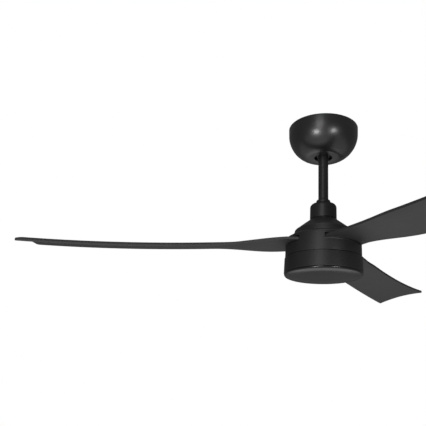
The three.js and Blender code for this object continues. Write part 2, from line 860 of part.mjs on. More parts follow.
add('hanger_ball', hangerBall(), nylonBlack);
add('ball_pin', ballPin(), plainSteel);
add('ball_set_screw', ballSetScrew(), zincSteel);
add('downrod', downrod(), rodBlack);
add('rod_lead', rodLead(), cableGrey);
add('rod_collar', rodCollar(), rodBlack);
add('coupling_cover', couplingCover(), rodBlack);
add('yoke', yoke(), plainSteel);
add('yoke_pin', yokePin(), zincSteel);
add('pin_clip', pinClip(), zincSteel);
add('yoke_screw_left', yokeScrew(-1), zincSteel);
add('yoke_screw_right', yokeScrew(1), zincSteel);

add('motor_shaft', motorShaft(), plainSteel);
add('stator_core', statorCore(), siliconSteel);
add('winding_upper', windingHead(statorTopZ + GAP, statorTopZ + 6.5), copperEnamel);
add('winding_lower', windingHead(statorBottomZ - 6.5, statorBottomZ - GAP), copperEnamel);
add('motor_controller', motorController(), boardGreen);

add('base_plate', basePlate(), zincSteel);
add('shaft_nut', shaftNut(), zincSteel);
add('skirt', skirt(), housingBlack);
for (let k = 0; k < bayonetCount; k += 1) {
  const azimuth = k * FULL_TURN / bayonetCount + Math.PI / 2;
  add(`skirt_screw_${k + 1}`, skirtScrew(azimuth), zincSteel);
}
add('led_driver', ledDriver(), nylonWhite);
add('led_tray', ledTray(), aluminium);
add('led_board', ledBoard(), boardWhite);

add('rotor_bell', rotorBell(), plainSteel);
add('magnet_ring', magnetRing(), ferrite);
add('rotor_end_plate', rotorEndPlate(), aluminium);
add('bearing_upper', bearing(bellTopZ - bellWall + 0.4, bellTopZ + 8), plainSteel);
add('bearing_lower', bearing(-294, -287), plainSteel);
add('upper_housing', upperHousing(), housingBlack);
for (let k = 0; k < bladeCount; k += 1) {
  const azimuth = firstBladeAzimuth + k * bladeStep;
  add(`blade_${k + 1}`, blade(azimuth), bladeBlack);
  add(`housing_screw_${k + 1}`, housingScrew(azimuth + postAngle), zincSteel);
  bladeScrewAngles.forEach((angle, i) => {
    add(`blade_${k + 1}_screw_${i + 1}`, bladeScrew(azimuth + angle), zincSteel);
  });
}

add('light_cover', lightCover(), diffuserBlack);

export default fan;
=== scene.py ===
"""Ceiling fan with a light in its lower housing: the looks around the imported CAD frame."""
import json
import math

import bmesh
import bpy
from mathutils import Matrix, Vector


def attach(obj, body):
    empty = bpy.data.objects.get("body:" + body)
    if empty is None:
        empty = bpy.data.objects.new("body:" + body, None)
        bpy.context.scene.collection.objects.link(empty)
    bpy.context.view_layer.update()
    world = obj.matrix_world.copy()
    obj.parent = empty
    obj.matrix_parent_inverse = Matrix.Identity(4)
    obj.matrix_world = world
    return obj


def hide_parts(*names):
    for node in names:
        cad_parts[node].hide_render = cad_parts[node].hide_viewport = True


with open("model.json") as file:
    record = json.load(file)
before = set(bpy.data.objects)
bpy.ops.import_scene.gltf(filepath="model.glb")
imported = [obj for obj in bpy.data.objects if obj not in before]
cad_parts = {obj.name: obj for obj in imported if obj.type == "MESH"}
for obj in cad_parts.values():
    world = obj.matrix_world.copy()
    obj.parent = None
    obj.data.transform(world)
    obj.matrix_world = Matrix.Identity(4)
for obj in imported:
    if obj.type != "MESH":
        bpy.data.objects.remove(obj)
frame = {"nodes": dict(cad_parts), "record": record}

MM = 0.001
FULL_TURN = 2 * math.pi


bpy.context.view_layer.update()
scene = bpy.context.scene

# ---- Measures of the frame, in millimetres ---------------------------------------------------

BLADE_COUNT = 3
FIRST_BLADE_AZIMUTH = math.radians(66.7)
BLADE_STEP = FULL_TURN / BLADE_COUNT
# The clear space between neighbouring pieces.
GAP = 0.3

# ---- Camera ----------------------------------------------------------------------------------

CAMERA_DISTANCE = 1.1237
CAMERA_HEIGHT = -0.5864
CAMERA_YAW = math.radians(-7.38)
CAMERA_PITCH = math.radians(11.62)
CAMERA_ROLL = math.radians(1.45)
LENS_MM = 44.87
SENSOR_MM = 36
SHIFT_X = -0.101
SHIFT_Y = 0.162


def make_camera():
    camera = bpy.data.objects.new("camera", bpy.data.cameras.new("camera"))
    scene.collection.objects.link(camera)
    forward = Vector((
        math.sin(CAMERA_YAW) * math.cos(CAMERA_PITCH),
        math.cos(CAMERA_YAW) * math.cos(CAMERA_PITCH),
        math.sin(CAMERA_PITCH),
    ))
    level_right = Vector((math.cos(CAMERA_YAW), -math.sin(CAMERA_YAW), 0))
    level_up = level_right.cross(forward)
    right = level_right * math.cos(CAMERA_ROLL) + level_up * math.sin(CAMERA_ROLL)
    up = level_up * math.cos(CAMERA_ROLL) - level_right * math.sin(CAMERA_ROLL)
    turn = Matrix((right, up, -forward)).transposed()
    camera.matrix_world = Matrix.Translation((0, -CAMERA_DISTANCE, CAMERA_HEIGHT)) @ turn.to_4x4()
    camera.data.lens = LENS_MM
    camera.data.sensor_width = SENSOR_MM
    camera.data.sensor_fit = "HORIZONTAL"
    camera.data.shift_x = SHIFT_X
    camera.data.shift_y = SHIFT_Y
    scene.camera = camera


make_camera()

# ---- Materials -------------------------------------------------------------------------------

# Noise seldom leaves this range, so it is stretched to cover the whole of a spread or a ramp.
NOISE_LOW = 0.3
NOISE_HIGH = 0.7


class Nodes:
    """A material's node tree, with a short call for each node that it needs."""

    def __init__(self, name):
        self.material = bpy.data.materials.new(name)
        self.material.use_nodes = True
        self.tree = self.material.node_tree
        self.shader = next(n for n in self.tree.nodes if n.type == "BSDF_PRINCIPLED")

    def node(self, kind, **inputs):
        made = self.tree.nodes.new(kind)
        for name, value in inputs.items():
            made.inputs[name.replace("_", " ")].default_value = value
        return made

    def link(self, source, target):
        self.tree.links.new(source, target)

    def coordinates(self, scale):
        texture = self.node("ShaderNodeTexCoord")
        mapping = self.node("ShaderNodeMapping")
        mapping.inputs["Scale"].default_value = scale
        self.link(texture.outputs["Object"], mapping.inputs["Vector"])
        return mapping.outputs["Vector"]

    def noise(self, scale, detail=4, stretch=(1, 1, 1)):
        made = self.node("ShaderNodeTexNoise", Scale=scale, Detail=detail)
        self.link(self.coordinates(stretch), made.inputs["Vector"])
        return made.outputs["Fac"]

    def spread(self, fac, low, high):
        made = self.tree.nodes.new("ShaderNodeMapRange")
        made.inputs["From Min"].default_value = NOISE_LOW
        made.inputs["From Max"].default_value = NOISE_HIGH
        made.inputs["To Min"].default_value = low
        made.inputs["To Max"].default_value = high
        self.link(fac, made.inputs["Value"])
        return made.outputs["Result"]

    def ramp(self, fac, colours):
        made = self.tree.nodes.new("ShaderNodeValToRGB")
        made.color_ramp.elements[0].position = NOISE_LOW
        made.color_ramp.elements[1].position = NOISE_HIGH
        made.color_ramp.elements[0].color = (*colours[0], 1)
        made.color_ramp.elements[1].color = (*colours[1], 1)
        self.link(fac, made.inputs["Fac"])
        return made.outputs["Color"]

    def bump(self, height, distance, strength=1.0, below=None):
        made = self.node("ShaderNodeBump", Distance=distance, Strength=strength)
        self.link(height, made.inputs["Height"])
        if below is not None:
            self.link(below, made.inputs["Normal"])
        return made.outputs["Normal"]


MOTTLE_SCALE = 14
DULLEST = 1.08
SHINIEST = 0.92
ENAMEL_MOTTLE_SCALE = 9
ENAMEL_DULLEST = 1.07
ENAMEL_SHINIEST = 0.93
PEEL_SCALE = 260
ENAMEL_GRAIN_SCALE = 2200
ENAMEL_GRAIN_DEPTH = 0.01
ENAMEL_COAT_ROUGHNESS = 0.2


def surface(name, colours, roughness, metallic=0.0, grain=900.0, grain_depth=0.02, stretch=(1, 1, 1)):
    """A moulded, painted or machined surface: mottled colour and sheen over a fine grain."""
    n = Nodes(name)
    broad = n.noise(MOTTLE_SCALE, 3)
    fine = n.noise(grain, 2, stretch)
    n.link(n.ramp(broad, colours), n.shader.inputs["Base Color"])
    n.link(n.spread(broad, roughness * SHINIEST, roughness * DULLEST), n.shader.inputs["Roughness"])
    n.shader.inputs["Metallic"].default_value = metallic
    n.link(n.bump(fine, grain_depth * MM), n.shader.inputs["Normal"])
    return n.material


def orange_peel(name, colours, roughness, peel_depth, coat=0.0, specular=0.5):
    """Sprayed enamel: a soft ripple a few millimetres across under the grain."""
    n = Nodes(name)
    broad = n.noise(ENAMEL_MOTTLE_SCALE, 3)
    peel = n.noise(PEEL_SCALE, 2)
    fine = n.noise(ENAMEL_GRAIN_SCALE, 2)
    n.link(n.ramp(broad, colours), n.shader.inputs["Base Color"])
    sheen = n.spread(broad, roughness * ENAMEL_SHINIEST, roughness * ENAMEL_DULLEST)
    n.link(sheen, n.shader.inputs["Roughness"])
    n.shader.inputs["Coat Weight"].default_value = coat
    n.shader.inputs["Coat Roughness"].default_value = ENAMEL_COAT_ROUGHNESS
    n.shader.inputs["Specular IOR Level"].default_value = specular
    rippled = n.bump(peel, peel_depth * MM)
    n.link(n.bump(fine, ENAMEL_GRAIN_DEPTH * MM, below=rippled), n.shader.inputs["Normal"])
    return n.material


# Enamels: the name, two colours, the roughness and the ripple's depth in millimetres.
CANOPY_BLACK = orange_peel(
    "canopy_black", ((0.009, 0.009, 0.0095), (0.012, 0.012, 0.0125)), 0.34, 0.004, coat=0.3, specular=0.85,
)
ROD_BLACK = orange_peel("rod_black", ((0.014, 0.014, 0.014), (0.018, 0.018, 0.018)), 0.42, 0.004)
HOUSING_BLACK = orange_peel("housing_black", ((0.012, 0.012, 0.012), (0.016, 0.016, 0.016)), 0.45, 0.006)
# The rest: the name, two colours, the roughness, the metal share, and the grain's scale and depth.
BLADE_BLACK = surface("blade_black", ((0.03, 0.03, 0.03), (0.035, 0.035, 0.035)), 0.52, 0.0, 1500, 0.02)
COVER_BLACK = surface("cover_black", ((0.009, 0.009, 0.0093), (0.012, 0.012, 0.0123)), 0.21, 0.0, 1800, 0.01)
SCREW_BLACK = surface("screw_black", ((0.02, 0.02, 0.02), (0.03, 0.03, 0.03)), 0.4, 0.6, 1200, 0.01)
# Painted shade: the hanger bracket is coloured black so that it reads dark when seen up through the canopy's
# hole, in place of the shade inside the canopy.
PAINTED_SHADE_BLACK = surface("painted_shade_black", ((0.012, 0.012, 0.012), (0.018, 0.018, 0.018)), 0.6, 0.0, 700, 0.04)
ZINC = surface("zinc", ((0.55, 0.56, 0.57), (0.68, 0.69, 0.7)), 0.36, 1.0, 500, 0.03)
STEEL = surface("steel", ((0.34, 0.35, 0.36), (0.42, 0.43, 0.44)), 0.42, 1.0, 700, 0.02, stretch=(1, 1, 12))
LAMINATION = surface(
    "lamination", ((0.16, 0.165, 0.17), (0.22, 0.225, 0.23)), 0.5, 0.9, 60, 0.2, stretch=(0.1, 0.1, 60),
)
COPPER = surface("copper", ((0.35, 0.1, 0.035), (0.5, 0.17, 0.06)), 0.32, 0.8, 900, 0.25)
MAGNET = surface("magnet", ((0.035, 0.035, 0.035), (0.05, 0.05, 0.048)), 0.7, 0.1, 1200, 0.05)
WHITE_NYLON = surface("white_nylon", ((0.68, 0.67, 0.63), (0.74, 0.73, 0.69)), 0.5, 0.0, 1400, 0.02)
BLACK_NYLON = surface("black_nylon", ((0.016, 0.016, 0.017), (0.024, 0.024, 0.025)), 0.5, 0.0, 1100, 0.05)
RUBBER = surface("rubber", ((0.012, 0.012, 0.012), (0.02, 0.02, 0.02)), 0.8, 0.0, 1500, 0.05)
GREEN_BOARD = surface("green_board", ((0.012, 0.11, 0.04), (0.02, 0.17, 0.06)), 0.35, 0.0, 240, 0.05)
WHITE_BOARD = surface("white_board", ((0.74, 0.74, 0.71), (0.8, 0.8, 0.77)), 0.35, 0.0, 240, 0.03)
ALUMINIUM = surface("aluminium", ((0.56, 0.57, 0.58), (0.66, 0.67, 0.68)), 0.38, 1.0, 420, 0.03)
LEAD_GREY = surface("lead_grey", ((0.15, 0.15, 0.16), (0.2, 0.2, 0.21)), 0.6, 0.0, 1400, 0.03)

SLOT_MATERIALS = {
    "zinc_steel": ZINC,
    "canopy_metal": CANOPY_BLACK,
    "black_screw": SCREW_BLACK,
    "black_steel": PAINTED_SHADE_BLACK,
    "white_nylon": WHITE_NYLON,
    "black_nylon": BLACK_NYLON,
    "liner_rubber": RUBBER,
    "plain_steel": STEEL,
    "rod_metal": ROD_BLACK,
    "lead_jacket": LEAD_GREY,
    "silicon_steel": LAMINATION,
    "copper_winding": COPPER,
    "green_board": GREEN_BOARD,
    "housing_paint": HOUSING_BLACK,
    "aluminium": ALUMINIUM,
    "white_board": WHITE_BOARD,
    "magnet": MAGNET,
    "blade_plastic": BLADE_BLACK,
    "cover_plastic": COVER_BLACK,
}
SLOT_OF_NODE = {row["node"]: row["material_slot"] for row in frame["record"]["subparts"]}
BODY_OF_NODE = {
    node: body
    for body, nodes in frame["record"]["behaviour"]["bodies"].items()
    for node in nodes
}

# ---- Mesh helpers ----------------------------------------------------------------------------

SMOOTH_BELOW = math.radians(38)
FLAT_BELOW = math.radians(0.5)
# The longest share of an edge that the rounding of one of its corners may take up.
CORNER_REACH = 0.49
ON_AXIS = 1e-6
MERGE_DISTANCE = 1e-6
PEG_SEGMENTS = 28
SMALL_RING_SEGMENTS = 96
LARGE_RING_SEGMENTS = 192
UPRIGHT = Matrix.Identity(4)
ALONG_X = Matrix.Rotation(math.pi / 2, 4, "Y")
ALONG_Y = Matrix.Rotation(-math.pi / 2, 4, "X")
FACING_DOWN = Matrix.Rotation(math.pi, 4, "X")


def shift(x, y, z):
    return Matrix.Translation(Vector((x, y, z)) * MM)


def spin(azimuth):
    return Matrix.Rotation(azimuth, 4, "Z")


def finish_piece(piece, node):
    """Gives a new piece its node's finish, and puts it in that node's place on the same body."""
    slot = SLOT_OF_NODE[node]
    piece.data.materials.clear()
    piece.data.materials.append(SLOT_MATERIALS[slot])
    piece.data.shade_smooth()
    piece.data.set_sharp_from_angle(angle=SMOOTH_BELOW)
    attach(piece, BODY_OF_NODE[node])
    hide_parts(node)


def piece_from(name, mesh_maker):
    """A new object whose mesh is filled in by mesh_maker(bmesh)."""
    made = bmesh.new()
    mesh_maker(made)
    bmesh.ops.recalc_face_normals(made, faces=made.faces)
    mesh = bpy.data.meshes.new(name)
    made.to_mesh(mesh)
    made.free()
    piece = bpy.data.objects.new(name, mesh)
    scene.collection.objects.link(piece)
    return piece


def rounded(outline, steps=5):
    """Rounds the corners of a closed outline of (radius, z, corner radius) points."""
    points = []
    for i, (r, z, corner) in enumerate(outline):
        here = Vector((r, z))
        if corner == 0:
            points.append(here)
            continue
        before = Vector(outline[i - 1][:2]) - here
        after = Vector(outline[(i + 1) % len(outline)][:2]) - here
        half = before.angle(after) / 2
        reach = min(corner / math.tan(half), before.length * CORNER_REACH, after.length * CORNER_REACH)
        start = here + before.normalized() * reach
        end = here + after.normalized() * reach
        for k in range(steps + 1):
            t = k / steps
            points.append((1 - t) ** 2 * start + 2 * t * (1 - t) * here + t * t * end)
    return points


def arc(centre_r, centre_z, radius, from_degrees, to_degrees, steps):
    """Points on an arc of an outline, counted from the outward direction towards +Z."""
    points = []
    for k in range(steps + 1):
        angle = math.radians(from_degrees + (to_degrees - from_degrees) * k / steps)
        points.append((centre_r + radius * math.cos(angle), centre_z + radius * math.sin(angle), 0))
    return points


def revolve(made, points, segments):
    """Turns a closed outline about Z; points on the axis become one point."""
    rings = []
    for p in points:
        if p.x < ON_AXIS:
            rings.append([made.verts.new((0, 0, p.y * MM))] * segments)
            continue
        ring = []
        for k in range(segments):
            angle = FULL_TURN * k / segments
            ring.append(made.verts.new(Vector((p.x * math.cos(angle), p.x * math.sin(angle), p.y)) * MM))
        rings.append(ring)
    for i, here in enumerate(rings):
        there = rings[(i + 1) % len(rings)]
        for k in range(segments):
            n = (k + 1) % segments
            corners = []
            for corner in (here[k], here[n], there[n], there[k]):
                if corner not in corners:
                    corners.append(corner)
            if len(corners) > 2:
                made.faces.new(corners)


def turned(name, outline, segments=160):
    return piece_from(name, lambda made: revolve(made, rounded(outline), segments))


def ring_outline(inner, outer, low, high, corner=0.2):
    return [(inner, low, corner), (outer, low, corner), (outer, high, corner), (inner, high, corner)]


def bridge(made, bottom, top):
    """Closes two rings of points into a solid."""
    made.faces.new(list(reversed(bottom)))
    made.faces.new(top)
    count = len(bottom)
    for k in range(count):
        n = (k + 1) % count
        made.faces.new((bottom[k], bottom[n], top[n], top[k]))


def add_prism(made, corners, low, high, place=UPRIGHT):
    """A closed prism over flat (x, y) corners."""
    bottom = [made.verts.new(place @ (Vector((x, y, low)) * MM)) for x, y in corners]
    top = [made.verts.new(place @ (Vector((x, y, high)) * MM)) for x, y in corners]
    bridge(made, bottom, top)


def between(start, end, t):
    return start + (end - start) * t


def circle_corners(radius, segments):
    corners = []
    for k in range(segments):
        angle = FULL_TURN * k / segments
        corners.append((radius * math.cos(angle), radius * math.sin(angle)))
    return corners


def add_peg(made, radius, low, high, place=UPRIGHT, segments=PEG_SEGMENTS):
    add_prism(made, circle_corners(radius, segments), low, high, place)


def pad_corners(low_x, low_y, high_x, high_y, corner, steps=5):
    """A rectangle with rounded corners."""
    corners = []
    for centre_x, centre_y, start in (
        (high_x - corner, low_y + corner, -90),
        (high_x - corner, high_y - corner, 0),
        (low_x + corner, high_y - corner, 90),
        (low_x + corner, low_y + corner, 180),
    ):
        for k in range(steps + 1):
            angle = math.radians(start + 90 * k / steps)
            corners.append((centre_x + corner * math.cos(angle), centre_y + corner * math.sin(angle)))
    return corners


def sector_corners(inner, outer, span, steps=12):
    corners = []
    for radius, sign in ((outer, 1), (inner, -1)):
        for k in range(steps + 1):
            angle = sign * span * (k / steps - 0.5)
            corners.append((radius * math.cos(angle), radius * math.sin(angle)))
    return corners


def combine(piece, operation, mesh_maker):
    """Cuts or joins the closed shapes that mesh_maker(bmesh) fills in."""
    tool = piece_from("tool", mesh_maker)
    modifier = piece.modifiers.new("combine", "BOOLEAN")
    modifier.operation = operation
    modifier.solver = "EXACT"
    modifier.object = tool
    bpy.context.view_layer.update()
    evaluated = piece.evaluated_get(bpy.context.evaluated_depsgraph_get())
    result = bpy.data.meshes.new_from_object(evaluated)
    piece.modifiers.clear()
    piece.data = result
    bpy.data.objects.remove(tool)
    return piece


def cut(piece, mesh_maker):
    return combine(piece, "DIFFERENCE", mesh_maker)


def join(piece, mesh_maker):
    return combine(piece, "UNION", mesh_maker)


def break_edges(piece, width):
    """Rounds the piece's sharp edges over, by width in millimetres."""
    made = bmesh.new()
    made.from_mesh(piece.data)
    bmesh.ops.remove_doubles(made, verts=made.verts, dist=MERGE_DISTANCE)
    bmesh.ops.dissolve_limit(made, angle_limit=FLAT_BELOW, verts=made.verts, edges=made.edges)
    sharp = [e for e in made.edges if len(e.link_faces) == 2 and e.calc_face_angle() > SMOOTH_BELOW]
    bmesh.ops.bevel(
        made,
        geom=sharp,
        offset=width * MM,
        segments=2,
        profile=0.5,
        affect="EDGES",
        clamp_overlap=True,
    )
    made.to_mesh(piece.data)
    made.free()
    return piece


def softened(node, width):
    """A piece with a CAD node's shape and its edges broken."""
    mesh = frame["nodes"][node].data.copy()
    piece = bpy.data.objects.new(node + "_soft", mesh)
    scene.collection.objects.link(piece)
    return break_edges(piece, width)


# ---- Screws ----------------------------------------------------------------------------------

# Points of the head's outline, as shares of its radius and height.
PAN_HEAD = ((0.55, 0.97), (0.85, 0.72), (1, 0.3))
HEAD_RIM_ROUNDING = 0.12
MIN_PITCH = 0.5
PITCH_SHARE = 0.35
THREAD_ROOT_SHARE = 0.84
THREAD_START = 0.3
TIP_SHARE = 0.55
RECESS_HALF_WIDTH_SHARE = 0.11
RECESS_REACH_SHARE = 0.52
RECESS_DEPTH_SHARE = 0.55


def screw(name, place, shank, head, head_height, length):
    """A pan-head screw with a cross recess and a thread, pointing along +Z of its place."""
    pitch = max(MIN_PITCH, shank * PITCH_SHARE)
    outline = [
        (0, -head_height, 0),
        *((head * out, -head_height * up, 0) for out, up in PAN_HEAD),
        (head, 0, HEAD_RIM_ROUNDING),
        (shank, 0, 0),
    ]
    turns = int((length - 1) / pitch)
    for k in range(turns):
        z = THREAD_START + pitch * k
        outline.append((shank, z, 0))
        outline.append((shank * THREAD_ROOT_SHARE, z + pitch / 2, 0))
    outline += [
        (shank, THREAD_START + pitch * turns, 0), (shank * TIP_SHARE, length, 0), (0, length, 0),
    ]
    piece = turned(name, outline, PEG_SEGMENTS)
    half_slot = head * RECESS_HALF_WIDTH_SHARE
    reach = head * RECESS_REACH_SHARE
    depth = head_height * RECESS_DEPTH_SHARE

    def cross(made):
        corners = [
            (reach, -half_slot), (reach, half_slot), (half_slot, half_slot), (half_slot, reach),
            (-half_slot, reach), (-half_slot, half_slot), (-reach, half_slot), (-reach, -half_slot),
            (-half_slot, -half_slot), (-half_slot, -reach), (half_slot, -reach), (half_slot, -half_slot),
        ]
        add_prism(made, corners, -head_height * 1.5, depth - head_height)

    cut(piece, cross)
    piece.data.transform(place)
    return piece


# ---- Canopy, rod and coupling cover ----------------------------------------------------------

CANOPY_RIM_RADIUS = 77.6
CANOPY_RIM_Z = -1
CANOPY_WALL = 1.2
CANOPY_SCREW_Z = -11
CANOPY_SCREWS = {"canopy_screw_left": math.radians(168), "canopy_screw_right": math.radians(12)}
CANOPY_SCREW = {"shank": 2, "head": 4, "head_height": 1.6, "length": 8}
CANOPY_SCREW_HOLE_RADIUS = 2.4


def canopy_points(inset, steps=48):
    """The bowl's side and floor: a quarter of a rounded oblong under a straight side."""
    side_radius = CANOPY_RIM_RADIUS - GAP - inset
    floor_radius = 31.7
    side_depth = 15.5
    curve_depth = 52.4 - inset
    roundness = 1.85
    points = []
    for i in range(steps + 1):
        angle = math.pi / 2 * i / steps
        across = math.cos(angle) ** (2 / roundness)
        down = math.sin(angle) ** (2 / roundness)
        points.append((
            between(floor_radius, side_radius, across),
            CANOPY_RIM_Z - side_depth - curve_depth * down,
            0,
        ))
    return points


def make_canopy():
    floor_z = -68.9
    hole_radius = 20
    outline = [
        (hole_radius, floor_z, 0.5),
        *reversed(canopy_points(0)),
        (CANOPY_RIM_RADIUS, CANOPY_RIM_Z, 0.5),
        (CANOPY_RIM_RADIUS - CANOPY_WALL, CANOPY_RIM_Z, 0.4),
        *canopy_points(CANOPY_WALL),
        (hole_radius, floor_z + CANOPY_WALL, 0.4),
    ]
    shell = turned("canopy_shell", outline, LARGE_RING_SEGMENTS)
    hole_start = 60
    hole_end = 90

    def screw_holes(made):
        for azimuth in CANOPY_SCREWS.values():
            place = spin(azimuth) @ shift(0, 0, CANOPY_SCREW_Z) @ ALONG_X
            add_peg(made, CANOPY_SCREW_HOLE_RADIUS, hole_start, hole_end, place)

    finish_piece(cut(shell, screw_holes), "canopy")
    for node, azimuth in CANOPY_SCREWS.items():
        inward = Matrix.Rotation(-math.pi / 2, 4, "Y")
        place = spin(azimuth) @ shift(CANOPY_RIM_RADIUS + GAP, 0, CANOPY_SCREW_Z) @ inward
        finish_piece(screw(node + "_pan", place, **CANOPY_SCREW), node)


ROD_BORE = 9
ROD_RADIUS = 11
ROD_BOTTOM_Z = -208
ROD_TOP_Z = -30
PIN_HOLE_RADIUS = 3.3
PIN_HOLE_REACH = 20
BALL_PIN_Z = -46
YOKE_PIN_Z = -197
LEAD_RADIUS = 2.2
LEAD_OFFSET = 5.5
LEAD_BOTTOM_Z = -311
LEAD_TOP_Z = -31


def make_rod():
    tube_outline = ring_outline(ROD_BORE, ROD_RADIUS, ROD_BOTTOM_Z, ROD_TOP_Z, 0.4)
    tube = turned("downrod_tube", tube_outline, SMALL_RING_SEGMENTS)

    def pin_holes(made):
        for z in (BALL_PIN_Z, YOKE_PIN_Z):
            add_peg(made, PIN_HOLE_RADIUS, -PIN_HOLE_REACH, PIN_HOLE_REACH, shift(0, 0, z) @ ALONG_Y)

    finish_piece(cut(tube, pin_holes), "downrod")
    collar = [
        (ROD_RADIUS + GAP, -178.9, 0.4), (14.4, -178.9, 0.8), (15.4, -177.7, 0.8),
        (15.4, -171.2, 1.4), (13.8, -169.6, 1.4), (ROD_RADIUS + GAP, -169.6, 0.4),
    ]
    finish_piece(turned("rod_collar_ring", collar, SMALL_RING_SEGMENTS), "rod_collar")
    lead_outline = [
        (0, LEAD_BOTTOM_Z, 0), (LEAD_RADIUS, LEAD_BOTTOM_Z, 0.5),
        (LEAD_RADIUS, LEAD_TOP_Z, 0.5), (0, LEAD_TOP_Z, 0),
    ]
    lead = turned("rod_lead_jacket", lead_outline, 32)
    lead.data.transform(shift(LEAD_OFFSET, 0, 0))
    finish_piece(lead, "rod_lead")


def make_coupling_cover():
    shoulder_r = 20.5
    shoulder_z = -187.7
    outer_rounding = 8.5
    inner_rounding = 7.3
    bore = 11.5
    rim_z = -214
    outline = [
        (29.3, rim_z, 0.5),
        *arc(shoulder_r, shoulder_z, outer_rounding, 0, 90, 14),
        (bore, -179.2, 0.4),
        (bore, -180.4, 0.3),
        *arc(shoulder_r, shoulder_z, inner_rounding, 90, 0, 14),
        (28.1, rim_z, 0.4),
    ]
    finish_piece(turned("coupling_cover_cup", outline, 144), "coupling_cover")


# ---- Rotating housing ------------------------------------------------------------------------

SLOT_LEADING_Y = -46.8
SLOT_TRAILING_Y = 59.2
SLOT_TOP_Z = -267
SLOT_BOTTOM_Z = -279
SLOT_ROUNDING = 2
SLOT_INNER_X = 42
SLOT_OUTER_X = 95
SHOULDER_INNER = (65.3, -251.7)
SHOULDER_OUTER = (82.1, -261.7)
POST_ORBIT = 71
POST_ANGLE = math.radians(68)
POST_RADIUS = 4
POST_TOP_DEPTH = 0.9
POST_PILOT_RADIUS = 1.9
HOUSING_SCREW = {"shank": 1.5, "head": 3.2, "head_height": 1.8, "length": 11}
HOUSING_SCREW_SEAT_Z = -279.6
FLANGE_TOP_Z = -276.3
BLADE_OFFSET = 9.2


def blade_azimuth(k):
    return FIRST_BLADE_AZIMUTH + k * BLADE_STEP


def add_post(made, place):
    """A screw post that ends inside the sloping shoulder's wall."""
    bottom = []
    top = []
    for x, y in circle_corners(POST_RADIUS, PEG_SEGMENTS):
        r = math.hypot(POST_ORBIT + x, y)
        share = (r - SHOULDER_INNER[0]) / (SHOULDER_OUTER[0] - SHOULDER_INNER[0])
        under = between(SHOULDER_INNER[1], SHOULDER_OUTER[1], share) - POST_TOP_DEPTH
        bottom.append(made.verts.new(place @ (Vector((x, y, FLANGE_TOP_Z + GAP)) * MM)))
        top.append(made.verts.new(place @ (Vector((x, y, under)) * MM)))
    bridge(made, bottom, top)


def make_upper_housing():
    outline = [
        (28.4, -215.5, 0.4), (28.4, -217.4, 1.2), (60, -242.1, 0.8), (60.6, -243, 1),
        (63.7, -253, 2), (80.3, -262.9, 2), (80.8, -302.5, 0.4), (82.6, -302.5, 0.6),
        (*SHOULDER_OUTER, 3.5), (*SHOULDER_INNER, 3), (62.1, -241.8, 1.2), (60.9, -240.5, 1.2),
        (30, -216.3, 0.6), (30, -215.5, 0.4),
    ]
    shell = turned("upper_housing_shell", outline, LARGE_RING_SEGMENTS)
    slot_corners = pad_corners(
        SLOT_LEADING_Y, SLOT_BOTTOM_Z, SLOT_TRAILING_Y, SLOT_TOP_Z, SLOT_ROUNDING,
    )
    # Turns the slot's flat outline upright, so that it runs outward along X.
    outward = Matrix(((0, 0, 1, 0), (1, 0, 0, 0), (0, 1, 0, 0), (0, 0, 0, 1)))
    post_places = [
        spin(blade_azimuth(k) + POST_ANGLE) @ shift(POST_ORBIT, 0, 0)
        for k in range(BLADE_COUNT)
    ]

    def slots(made):
        for k in range(BLADE_COUNT):
            place = spin(blade_azimuth(k)) @ outward
            add_prism(made, slot_corners, SLOT_INNER_X, SLOT_OUTER_X, place)

    def posts(made):
        for place in post_places:
            add_post(made, place)

    def pilots(made):
        for place in post_places:
            add_peg(made, POST_PILOT_RADIUS, FLANGE_TOP_Z - 5, FLANGE_TOP_Z + 12, place)

    finish_piece(cut(join(cut(shell, slots), posts), pilots), "upper_housing")
    for k in range(BLADE_COUNT):
        node = f"housing_screw_{k + 1}"
        place = spin(blade_azimuth(k) + POST_ANGLE) @ shift(POST_ORBIT, 0, HOUSING_SCREW_SEAT_Z)
        finish_piece(screw(node + "_pan", place, **HOUSING_SCREW), node)


# ---- Blades ----------------------------------------------------------------------------------

BLADE_INNER_RADIUS = 65
BLADE_WALL_X = 82
BLADE_TIP_X = 644.7
BLADE_HALF_THICKNESS = 2.9
BLADE_EDGE_RADIUS = 1.1
BLADE_ROOT_Z = -273.1
BLADE_SCREW_ORBIT = 72
BLADE_HOLE_RADIUS = 2.3
BLADE_HOLE_LOW_Z = -285
BLADE_HOLE_HIGH_Z = -250
BLADE_SCREW = {"shank": 2, "head": 4, "head_height": 2.2, "length": 9}
BLADE_SCREW_ANGLES = [math.radians(angle) for angle in (-16, 7.5, 31)]
# The blade's shape from the motor's wall out to the tip.
ROOT_HALF_WIDTH = 47.4
TIP_HALF_WIDTH = 66.8
WAIST = 5.7
FLARE = 7
FLARE_FROM_X = 110
FLARE_TO_X = 210
TWIST_FROM_X = 86
TWIST_TO_X = 246
PITCH_SLOPE = math.radians(11.9)
ARCH = 6
TIP_Z = -280.6
SAG = 9.1
TIP_RAKE = 0.078
LEADING_TIP_ROUNDING = 9
TRAILING_TIP_ROUNDING = 5
STATION_STEP = 6
LAST_EVEN_STATION_X = 634
ROOT_STATIONS = 8
# The last slices stand closer together, to round the tip: distances from it.
TIP_STATIONS = (9, 7.5, 6.2, 5, 4, 3.1, 2.3, 1.6, 1.1, 0.7, 0.4, 0.2, 0.07, 0)


def blend_step(value, low, high):
    t = min(max((value - low) / (high - low), 0), 1)
    return t * t * (3 - 2 * t)


def corner_inset(distance, radius):
    """How far a rounded corner draws an edge in, at a distance from the tip."""
    if distance >= radius:
        return 0
    return radius - math.sqrt(radius**2 - (radius - distance) ** 2)


def blade_profile():
    """Down one rounded edge: (distance in from the edge, drop from the surface)."""
    steps = 4
    profile = []
    for k in range(steps + 1):
        angle = math.pi / 2 * k / steps
        inset = BLADE_EDGE_RADIUS * (1 - math.sin(angle))
        drop = BLADE_EDGE_RADIUS * (1 - math.cos(angle))
        profile.append((inset, drop))
    return profile


